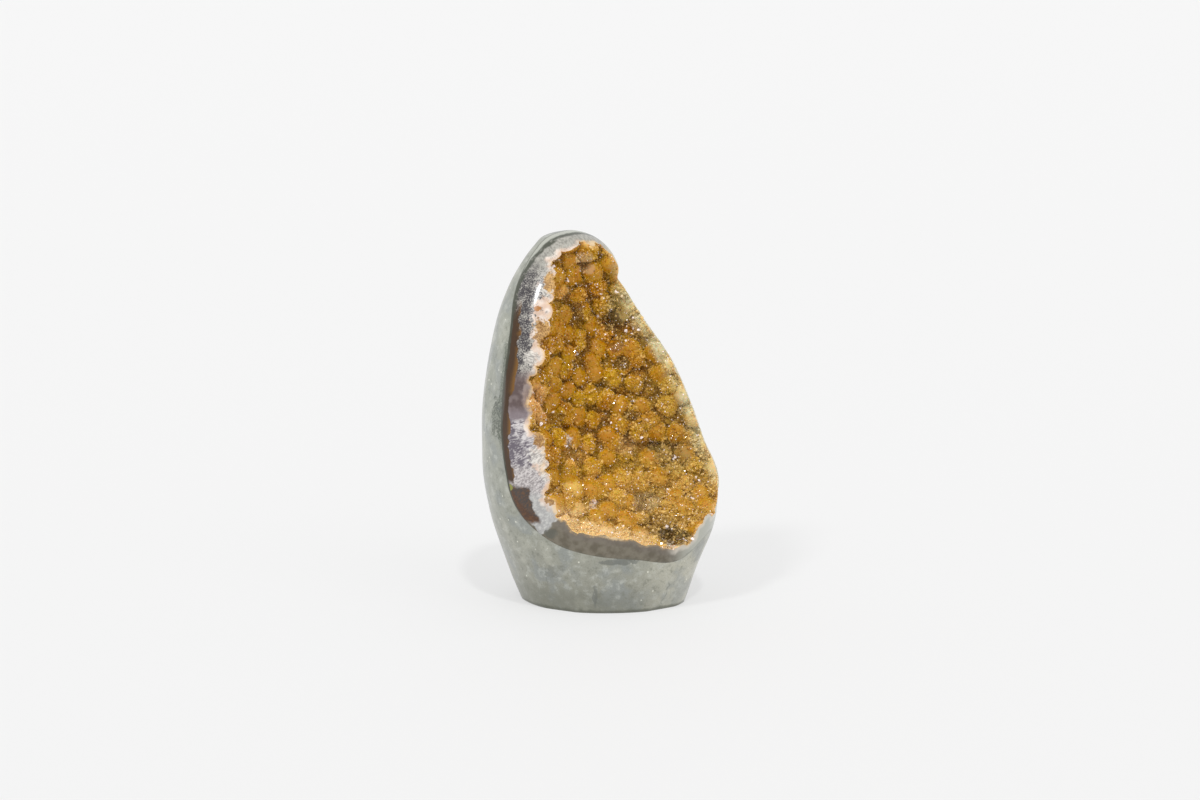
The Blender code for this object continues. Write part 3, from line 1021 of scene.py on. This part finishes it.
def clouded_basalt(f, z, clouds, blotches, fine):
    """Clouds, blotches, grain, filled bubbles and hairline cracks. Gives the bubbles."""
    x = f.axis(f.place, "X")
    low = f.rise(z + (clouds - 0.5) * 40, 45.0, 5.0)
    f.colour = f.blend(low, (156, 158, 147), (147, 147, 135))
    f.paint(low * f.rise(x, 8.0, 26.0), (188, 186, 170))
    f.paint(f.rise(clouds, 0.47, 0.62) * 0.5, (132, 138, 140))
    f.paint(f.rise(clouds, 0.44, 0.32) * 0.4, (190, 190, 176))
    f.paint(f.rise(blotches, 0.5, 0.68) * 0.45, (196, 198, 190))
    f.paint(f.rise(blotches, 0.45, 0.3) * 0.55, (112, 114, 102))
    f.paint(f.rise(fine, 0.45, 0.75) * 0.4, (112, 114, 100))
    bubbles = f.rise(f.cells(f.place, 3.4), 0.11, 0.06)
    f.paint(bubbles * 0.8, (230, 230, 216))
    hairline = f.rise(f.cells(f.bent(f.place, 6.0, 3.0), 34.0, "DISTANCE_TO_EDGE"), 0.006, 0.002)
    f.paint(hairline * f.rise(clouds, 0.46, 0.56) * 0.4, (96, 100, 90))
    return bubbles


def speckles_foot_and_line(f, z, clouds, blotches):
    """The speckled zone by the agate, the darker foot and a dark line along the agate."""
    edge = f.axis(f.kept("rim_place", "Vector"), "Z")
    height = f.rise(z, 46.0, 58.0) * f.rise(z, 92.0, 80.0)
    strip = f.rise(edge + (blotches - 0.5) * 3, -3.6, -1.0) * height * 0.75
    grit = f.blend(f.rise(f.grain(f.place, 0.6), 0.4, 0.6), (68, 74, 62), (126, 130, 118))
    patch = f.spot(f.place, (-31.5, -15.5, 61.5), (3.4, 5.0, 6.5), 0.6, 2.4) * 0.85
    f.paint(f.rise(strip + patch, 0.0, 1.0), grit)
    # Darker towards the foot, on the left.
    dark_foot = f.rise(z + (clouds - 0.5) * 14, 11.0, 4.0) * f.rise(f.axis(f.place, "X"), 26.0, -4.0)
    f.paint(dark_foot * 0.55, (104, 105, 92))
    line = f.rise(edge + (blotches - 0.5) * 0.7, -0.7, -0.1) * f.rise(z, 26.0, 40.0)
    f.paint(line, (64, 66, 52))


def basalt_finish():
    f = Stone("polished_basalt")
    z = f.axis(f.place, "Z")
    clouds = f.grain(f.place, 9.0, 4.0)
    blotches = f.grain(f.place, 2.6, 5.0, 0.6)
    fine = f.grain(f.place, 0.4, 3.0)
    bubbles = clouded_basalt(f, z, clouds, blotches, fine)
    speckles_foot_and_line(f, z, clouds, blotches)
    f.paint_spots(f.place, DARK_PATCHES, 0.9, 2.2)
    # Painted shade along the eased edge of the foot, which faces the floor.
    f.paint(f.rise(z + (blotches - 0.5) * 1.2, 1.5, 0.5) * 0.75, (86, 88, 74))
    return f.finished(
        Roughness=0.32 + (fine - 0.5) * 0.16,
        Normal=f.bump(blotches * 0.4 + fine * 0.5 - bubbles * 0.6, 0.25, 0.05),
        Coat_Weight=0.2,
        Coat_Roughness=0.12,
    )


basalt_polish = basalt_finish()
print(basalt_polish.name, len(basalt_polish.node_tree.nodes), "nodes")

# %% [markdown]
# ## The polished rim
# The rim is where the grinder cut through the layers. Beside the basalt runs a thin dark line, then on one
# side a brown one. The agate inside them changes along the rim: grey-brown and even at the foot, then
# brown where iron has stained it, white and feathery, purple-grey, and salt and pepper near the top. Next
# to the crystals it turns to white quartz. Each zone is a mask from the height and the two distances, made
# ragged by noise.

# %% The agate's zones
class Rim(Stone):
    """The rim's finish, with the numbers that its zones are drawn from."""

    def __init__(self, name):
        super().__init__(name)
        self.ragged = self.bent(self.place, 2.2, 1.3)
        self.x, self.z = self.axis(self.ragged, "X"), self.axis(self.ragged, "Z")
        self.wide = self.grain(self.place, 5.0, 2.0)
        self.soft = self.grain(self.place, 2.4, 4.0)
        self.fine = self.grain(self.place, 0.4, 3.0, 0.6)
        ring = self.kept("rim_place", "Vector")
        # Noise drawn out across the rim, as the needles of the quartz are
        self.needles = self.grain(self.vector("MULTIPLY", ring, (1.0, 1.0, 0.3)), 0.5, 4.0, 0.6)
        self.edge = self.axis(ring, "Z")
        self.inner = self.kept("from_crystals")


def agate_zones(f):
    """The agate from the foot upwards, each zone laid over the one below it."""
    f.colour = f.blend(f.rise(f.soft, 0.35, 0.65), (90, 82, 66), (114, 107, 92))
    f.paint(f.rise(f.inner, 3.2, 1.0) * 0.5, (108, 98, 90))
    f.paint(f.rise(f.x, 20.0, 30.0), (174, 175, 164))
    pale = f.blend(f.rise(f.needles, 0.4, 0.65), (164, 163, 162), (194, 194, 190))
    f.paint(f.rise(f.z - abs(f.x + 18.2) * 1.1, 25.6, 26.8), pale)
    mottled = f.rise(f.needles + (f.fine - 0.5) * 0.6, 0.36, 0.66)
    f.paint(f.rise(f.z, 37.5, 41.5), f.blend(mottled, (142, 135, 135), (204, 198, 196)))
    white = f.needles + (f.soft - 0.5) * 0.8 + f.rise(f.inner, 7.0, 1.0) * 0.16
    f.paint(f.rise(f.z, 46.5, 49.0), f.blend(f.rise(white, 0.44, 0.76), (96, 88, 98), (208, 203, 202)))
    purple = f.blend(f.rise(f.soft, 0.4, 0.65), (86, 70, 68), (114, 100, 98))
    purple = f.blend(f.rise(f.z, 67.0, 63.5) * 0.5, purple, (150, 140, 146))
    f.paint(f.rise(f.z, 61.0, 63.5), purple)
    salt = f.rise(f.fine + (f.soft - 0.5) * 0.5 + f.rise(f.inner, 6.0, 1.0) * 0.1, 0.46, 0.68)
    f.paint(f.rise(f.z, 74.5, 78.5), f.blend(salt, (56, 52, 56), (172, 168, 160)))
    streaks = f.blend(f.rise(f.needles, 0.35, 0.65), (136, 134, 126), (176, 174, 164))
    f.paint(f.rise(f.z, 104.0, 110.0) * 0.85, streaks)


rim = Rim("polished_rim")
agate_zones(rim)
print("with its zones the rim has", len(rim.tree.nodes), "nodes")

# %% White quartz and stains
ORANGE_DOT = (((-19.3, -13.8, 95.4), (1.2, 1.8, 0.9), (166, 108, 44), 1.0),)
WEDGES = (
    ((-15.4, -25.6, 27.2), (2.2, 5.0, 1.9), (84, 84, 74), 0.8),
    ((28.5, -17.0, 25.0), (1.0, 5.0, 4.0), (128, 128, 120), 0.6),
)
GREEN_FLECK = (((-27.9, -20.6, 40.6), (1.2, 2.0, 1.0), (132, 132, 52), 1.0),)


def white_quartz(f):
    """White and pink quartz where the crystals begin, in patches along them."""
    pink = f.blend(f.rise(f.cells(f.place, 2.3, "SMOOTH_F1"), 0.2, 0.6), (234, 220, 208), (214, 184, 162))
    white = f.blend(f.rise(f.needles, 0.4, 0.6), (156, 150, 144), (222, 217, 208))
    wide = 0.8 + f.rise(f.wide, 0.44, 0.66) * 2.4 + (f.fine - 0.5) * 2.2
    left = f.rise(f.z, 32.0, 38.0) * f.rise(f.x, -5.0, -9.0)
    left = left * (1 - f.rise(f.z, 61.0, 64.0) * f.rise(f.z, 79.0, 76.0) * 0.75)
    f.paint(f.rise(f.inner - wide, 0.9, -0.6) * left * 0.85, pink)
    patches = (
        ((-17.6, -13.4, 96.6), (2.8, 4.5, 2.4), pink, 0.8),
        ((-18.4, -14.8, 93.4), (2.6, 4.5, 2.6), pink, 0.8),
        ((-16.4, -11.0, 101.0), (1.6, 4.0, 2.6), white, 0.8),
        ((-12.8, -6.4, 107.5), (3.6, 4.0, 1.8), white, 0.8),
        ((-21.2, -19.6, 81.0), (2.8, 4.5, 2.2), white, 0.8),
        ((-18.8, -25.8, 51.0), (3.6, 4.5, 3.0), white, 0.8),
        ((-17.0, -26.0, 46.4), (1.8, 4.0, 2.4), white, 0.8),
    )
    f.paint_spots(f.ragged, patches, 1.2, 1.0)
    f.paint_spots(f.place, ORANGE_DOT, 0.6, 0.8)


def stains(f):
    """The brown lens low on the left, dark wedges and a green fleck."""
    lens = f.rise(f.edge + (f.soft - 0.5) * 3 - (f.z - 30.0) * 0.7, 6.4, 5.4)
    lens = lens * f.rise(f.z, 29.0, 31.0) * f.rise(f.z, 42.0, 40.6) * f.rise(f.x, -17.6, -19.0)
    brown = f.blend(f.rise(f.edge + (f.z - 35.0) * 0.5, 6.4, 3.6), (58, 48, 42), (66, 34, 0))
    f.paint(lens, f.blend(f.rise(f.needles, 0.4, 0.7) * 0.5, brown, (116, 70, 8)))
    f.paint_spots(f.ragged, WEDGES, 0.4)
    f.paint_spots(f.ragged, GREEN_FLECK, 0.3)


white_quartz(rim)
stains(rim)
print("with quartz and stains", len(rim.tree.nodes))

# %% Lines along the rim
OVER_THE_RIM = (
    ((-17.6, -16.2, 88.4), (3.0, 6.0, 4.0)),
    ((-15.2, -11.0, 103.0), (2.4, 6.0, 3.4)),
    ((-18.2, -25.6, 57.2), (2.4, 6.0, 3.0)),
    ((-15.4, -27.0, 38.4), (1.8, 6.0, 2.4)),
)


def lines_beside_basalt(f):
    """A brown line, a thin dark one and a dark arch at the top. Gives where the brown line is."""
    edge = f.edge + (f.fine - 0.5) * 0.6
    past = edge - (3.2 + f.rise(f.wide, 0.34, 0.62) * 1.6 + f.rise(f.z, 52.0, 45.0) * 0.9)
    band = f.rise(past, 0.35, -0.15) * f.rise(f.z, 41.0, 43.0) * f.rise(f.z, 99.0, 92.0)
    band = band * f.rise(f.x, -10.0, -16.0)
    inner_side = f.rise(past, -2.2, 0.1) * f.rise(f.wide, 0.4, 0.6) * 0.8
    f.paint(band, f.blend(inner_side, (60, 36, 6), (126, 86, 26)))
    f.paint(f.rise(edge, 1.1, 0.6) * f.rise(f.z, 24.0, 40.0), (52, 50, 34))
    top = f.rise(f.z, 90.0, 97.0) * f.rise(f.x, 9.0, -6.0)
    away = f.edge + (f.soft - 0.5) * 1.8 + (f.wide - 0.5) * 2.4 - f.rise(f.z, 101.0, 118.0) * 4.4
    f.paint(f.rise(away, 0.4, -0.3) * top, (172, 174, 163))
    f.paint(f.rise(abs(away - 0.8), 2.0, 0.7) * f.rise(f.soft, 0.8, 0.5) * top * 0.95, (60, 64, 50))
    f.paint(f.rise(edge + (f.soft - 0.5) * 3, 0.8, 0.2) * 0.3, (92, 94, 84))
    return band


def edge_of_crystals(f):
    """A pale lip, a golden line in stretches, and places where crystals come over the rim."""
    lip = f.rise(f.inner + (f.soft - 0.5) * 2, 2.0, 0.8)
    f.paint(lip * f.rise(f.x, 20.0, 24.0) * f.rise(f.z, 36.0, 30.0) * 0.8, (206, 199, 186))
    gold = f.blend(f.rise(f.soft, 0.4, 0.6), (232, 200, 150), (214, 166, 92))
    line = f.rise(f.inner + (f.fine - 0.5) * 1.6 + (f.soft - 0.5) * 2.4, 1.1, 0.0)
    line = line * (0.15 + f.rise(f.wide, 0.42, 0.58) * 0.65) * (1 - f.rise(f.x, 12.0, 22.0) * 0.6)
    f.paint(line, gold)
    sugar = f.rise(f.fine + (f.soft - 0.5) * 0.6, 0.38, 0.66)
    sugar = f.blend(sugar, (132, 88, 20), (206, 160, 84))
    f.paint_spots(f.ragged, [(*spot, sugar, 0.9) for spot in OVER_THE_RIM], 1.0, 1.2)


def straw_side(f):
    """The glassy quartz of the broken side: grey by the basalt, then straw, golden by the crystals."""
    straw = f.blend(f.rise(f.soft, 0.4, 0.6), (196, 195, 174), (216, 206, 178))
    straw = f.blend(f.rise(f.edge + (f.soft - 0.5) * 3, 2.6, 0.8) * 0.8, straw, (150, 152, 138))
    straw = f.blend(f.rise(f.inner + (f.soft - 0.5) * 5, 2.4, 0.6) * 0.6, straw, (210, 180, 124))
    f.paint(f.rise(f.x, -1.0, 7.0) * f.rise(f.z, 32.0, 40.0) * 0.95, straw)


brown_line = lines_beside_basalt(rim)
edge_of_crystals(rim)
straw_side(rim)
rim_polish = rim.finished(
    Roughness=0.16 + rim.fine * 0.12,
    Normal=rim.bump(rim.needles, 0.12, 0.04),
    Coat_Weight=0.3 - brown_line * 0.22,
    Coat_Roughness=0.05,
)
print(rim_polish.name, len(rim.tree.nodes), "nodes")

# %% [markdown]
# ## Golden quartz
# The gold is iron in the quartz, stronger in some places than in others. The lumps and the points share
# one colour recipe, so that they read as one crust: sugary amber that turns to straw and to olive in wide
# patches, yellower on the smooth nodules, with painted shade low on the nodules, in the valleys and in one
# recess, and pale where the crust thins out at the rim. Every point adds a little of its own, from brown to
# nearly white, and a few are painted white as glints. Each has a glassy skin, which makes the sparkle. The
# lumps under them let some light in below the surface.

# %% Patches in the gold
# Places with a colour of their own, and one recess darkened with painted shade: middle, radii, colour,
# strength
PATCHES = (
    ((7.5, 9.0, 93.5), (6.0, 8.0, 8.0), (164, 142, 84), 0.8),
    # A recess deep in the crust, darkened as painted shade.
    ((3.8, 9.8, 88.0), (3.0, 6.0, 4.0), (84, 62, 26), 0.8),
    ((7.0, 5.4, 74.9), (2.6, 5.0, 2.4), (92, 68, 26), 0.8),
    ((9.8, 3.4, 58.5), (3.0, 5.0, 2.2), (96, 70, 30), 0.7),
    ((17.5, 4.2, 48.3), (3.0, 5.0, 2.0), (92, 78, 44), 0.8),
    ((17.5, -11.5, 26.0), (7.0, 9.0, 3.4), (134, 100, 46), 0.75),
    ((22.9, -13.0, 23.0), (6.5, 9.0, 3.2), (84, 66, 36), 0.85),
    ((-9.0, -17.2, 39.2), (3.8, 4.5, 2.8), (226, 184, 90), 0.8),
    ((-5.6, -20.8, 33.8), (3.4, 5.0, 2.6), (232, 192, 122), 0.65),
    ((-10.9, -2.0, 98.3), (2.8, 5.0, 3.2), (226, 170, 86), 0.6),
    ((-7.4, -9.5, 48.4), (5.8, 7.0, 3.4), (236, 182, 86), 0.7),
    ((-14.5, -11.0, 60.4), (3.6, 6.0, 2.0), (104, 62, 8), 0.6),
    ((0.3, 2.9, 68.6), (2.8, 6.0, 2.4), (104, 64, 12), 0.65),
    ((5.2, 6.8, 80.2), (2.6, 6.0, 2.2), (104, 66, 14), 0.6),
    ((-4.8, 0.4, 109.0), (3.2, 5.0, 2.4), (214, 182, 136), 0.6),
    ((-20.0, -17.0, 66.5), (4.2, 7.5, 7.5), (236, 184, 116), 0.75),
    ((14.2, -6.0, 32.5), (5.0, 8.0, 3.2), (168, 144, 104), 0.7),
    ((8.2, 1.4, 49.2), (4.5, 8.0, 3.4), (186, 146, 92), 0.6),
    ((23.0, 3.0, 45.0), (6.0, 8.0, 5.0), (166, 138, 78), 0.6),
    ((-4.2, 1.3, 105.5), (2.6, 5.0, 1.8), (190, 152, 112), 0.6),
    ((-7.2, 2.9, 92.6), (2.6, 6.0, 3.4), (146, 104, 60), 0.7),
    ((-10.6, -9.0, 53.0), (2.4, 5.0, 1.8), (222, 206, 196), 0.8),
    ((-2.2, -15.8, 34.0), (1.8, 5.0, 1.4), (236, 208, 190), 0.7),
    ((21.8, -19.6, 21.1), (4.2, 4.5, 1.1), (212, 200, 182), 0.65),
)
print(len(PATCHES), "patches")


# %% Golden colours
def golden(f):
    """Paints the colour that the lumps and the points share."""
    height, rim, nodule = f.kept("lump_height"), f.kept("from_rim"), f.kept("nodule")
    ragged = f.bent(f.place, 2.6, 1.6)
    x, z = f.axis(ragged, "X"), f.axis(ragged, "Z")
    wide = f.grain(f.place, 8.0, 3.0)
    middle = f.grain(f.place, 2.4, 4.0)
    fine = f.grain(f.place, 0.5, 2.0)
    f.colour = f.blend(f.rise(wide, 0.4, 0.6), (184, 123, 0), (198, 150, 8))
    f.paint(f.rise(middle, 0.5, 0.7) * 0.6, (208, 156, 40))
    f.paint(f.rise(x + (wide - 0.5) * 24, 2.0, 22.0) * 0.55, (192, 156, 68))
    f.paint(f.rise(z + (wide - 0.5) * 26, 52.0, 28.0) * 0.55, (220, 178, 92))
    glassy = f.blend(f.rise(middle, 0.4, 0.6), (202, 136, 0), (214, 162, 12))
    # Smooth nodules: glassy gold on their tops, with painted shade lower down.
    f.paint(nodule * 0.75, f.blend(f.rise(height, 2.8, 1.2) * 0.6, glassy, (156, 100, 0)))
    f.paint_spots(ragged, PATCHES, 0.3)
    # Painted shade in the valleys between the lumps, weaker low in the hollow.
    valley_shade = f.rise(height + (middle - 0.5) * 0.6 + (fine - 0.5) * 0.3, 0.5, 0.0)
    f.paint(valley_shade * (0.7 - f.rise(z, 58.0, 36.0) * 0.37), (104, 62, 8))
    low_edge = f.rise(rim + (middle - 0.5) * 3, 7.5, 3.0) * f.rise(z + x * 0.18, 35.0, 30.5)
    f.paint(low_edge * f.rise(x, 19.0, 14.0) * 0.8, (236, 202, 146))
    right_edge = f.rise(rim + (middle - 0.5) * 4.4, 5.0, 1.4) * f.rise(x, 2.0, 9.0)
    straw = f.blend(f.rise(wide, 0.42, 0.58), (212, 205, 164), (218, 198, 140))
    f.paint(right_edge * f.rise(z, 34.0, 42.0) * 0.85, straw)
    pale_line = f.rise(rim + (middle - 0.5) * 2, 1.2, 0.2)
    f.paint(pale_line * (0.12 + f.rise(wide, 0.44, 0.56) * 0.45), (232, 190, 128))


def crust_finish():
    f = Stone("golden_quartz")
    golden(f)
    fine = f.grain(f.place, 0.3, 3.0)
    return f.finished(
        Roughness=0.2 + fine * 0.2,
        Normal=f.bump(fine, 0.5, 0.12),
        Coat_Weight=f.kept("nodule") * 0.35,
        Coat_Roughness=0.1,
        Specular_IOR_Level=0.2,
        Subsurface_Weight=0.25,
        Subsurface_Scale=0.004,
    )


crust_gold = crust_finish()
print(crust_gold.name, len(crust_gold.node_tree.nodes), "nodes")

# %% The points' finishes
def points_finish(name, shine, glassy):
    f = Stone(name)
    golden(f)
    own = f.kept("own")
    f.paint(f.rise(own, 0.5, 0.95) * 0.5, (248, 210, 128))
    f.paint(f.rise(own, 0.3, 0.0) * 0.45, (108, 66, 8))
    # A few points painted near white as painted glints.
    f.paint(f.rise(own, 0.955, 0.965), (255, 242, 238))
    return f.finished(
        Roughness=0.06 + own * 0.08,
        Specular_IOR_Level=shine,
        Coat_Weight=glassy,
        Coat_Roughness=0.02,
    )


def straw_points_finish():
    f = Stone("straw_points")
    own = f.kept("own")
    f.colour = f.blend(f.rise(f.grain(f.place, 4.0, 3.0), 0.42, 0.58), (208, 206, 184), (222, 206, 170))
    f.paint(f.rise(own, 0.6, 1.0) * 0.7, (240, 236, 214))
    f.paint(f.rise(own, 0.3, 0.0) * 0.5, (142, 128, 84))
    return f.finished(Roughness=0.08, Coat_Weight=0.4, Coat_Roughness=0.02)


small_gold = points_finish("golden_points", shine=0.24, glassy=0.12)
large_gold = points_finish("large_points", shine=0.5, glassy=0.7)
straw = straw_points_finish()
for material in (small_gold, large_gold, straw):
    print(material.name, len(material.node_tree.nodes), "nodes")

# %% [markdown]
# ## Putting the finishes on
# Each layer takes the place of its packed solid, and the points ride along with them. Its faces keep their
# numbers, so each slot gets the finish for one kind of face. The edge between a ground face and a grown
# one is kept sharp.

# %% Dressing and placing
LAYERS = (
    (ground_basalt, "basalt", "basalt", (basalt_polish, basalt_polish, basalt_polish)),
    (agate_layer, "agate_lining", "agate", (rim_polish, rim_polish, rim_polish)),
    (crystal_bed, "crystal_crust", "golden_quartz", (rim_polish, crust_gold, crust_gold)),
)
POINTS = ((points_a, small_gold), (points_b, small_gold), (large_piece, large_gold), (rim_piece, straw))


def smooth_but_for_seams(obj):
    """Smooth faces, with a crease where two bodies' surfaces meet."""
    mesh = bmesh.new()
    mesh.from_mesh(obj.data)
    for face in mesh.faces:
        face.smooth = True
    for edge in mesh.edges:
        edge.smooth = len({face.material_index for face in edge.link_faces}) == 1
    mesh.to_mesh(obj.data)
    mesh.free()


def triangles(obj):
    return sum(len(face.vertices) - 2 for face in obj.data.polygons)


for obj, node, slot, materials in LAYERS:
    smooth_but_for_seams(obj)
    for i, material in enumerate(materials):
        obj.data.materials[i] = material
    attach(obj, "root")
    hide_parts(node)
    print(obj.name, triangles(obj), "triangles")
for obj, material in POINTS:
    obj.data.materials.append(material)
    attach(obj, "root")
    print(obj.name, triangles(obj), "triangles")
for body in (stone_body, agate_body, bed_body, space):
    bpy.data.objects.remove(body)

# %% [markdown]
# ## Floor and light
# One far lamp makes the shape, a broad one fills its shadows and a narrow one glints on the polish. A lit
# room does the rest. More than half of the floor's brightness is its own, as on a table lit from below, so
# shadows on it stay faint.

# %% Floor and light
# Compass angle, angle above the horizon, spread in degrees, strength. A wide spread gives soft shadows.
LAMPS = {"key": (-40, 46, 9, 0.9), "fill": (50, 40, 40, 0.25), "glint": (14, 60, 4, 0.85)}
ROOM_LIGHT = 0.74
FLOOR_REACH = 12000.0
FLOOR_TONE = (148, 148, 148)
FLOOR_GLOW = 0.52


def hang_lamp(name, compass, above, spread, strength):
    data = bpy.data.lights.new(name, "SUN")
    data.angle = math.radians(spread)
    data.energy = strength
    obj = bpy.data.objects.new(name, data)
    obj.rotation_euler = Vector(direction(compass, above)).to_track_quat("Z", "Y").to_euler()
    bpy.context.scene.collection.objects.link(obj)


def lay_floor():
    corners = [(x * FLOOR_REACH, y * FLOOR_REACH, 0) for x, y in ((-1, -1), (1, -1), (1, 1), (-1, 1))]
    obj = mesh_object("floor", corners, [(0, 1, 2, 3)])
    finish = Finish("pale_floor", FLOOR_TONE).finished(Roughness=0.8, Emission_Strength=FLOOR_GLOW)
    obj.data.materials.append(finish)


lay_floor()
for name, lamp in LAMPS.items():
    hang_lamp(name, *lamp)
world = bpy.data.worlds.new("room")
bpy.context.scene.world = world
world.use_nodes = True
room = world.node_tree.nodes["Background"]
room.inputs["Color"].default_value = (1, 1, 1, 1)
room.inputs["Strength"].default_value = ROOM_LIGHT
bpy.context.scene.view_settings.view_transform = "Standard"
print(len(LAMPS), "lamps")
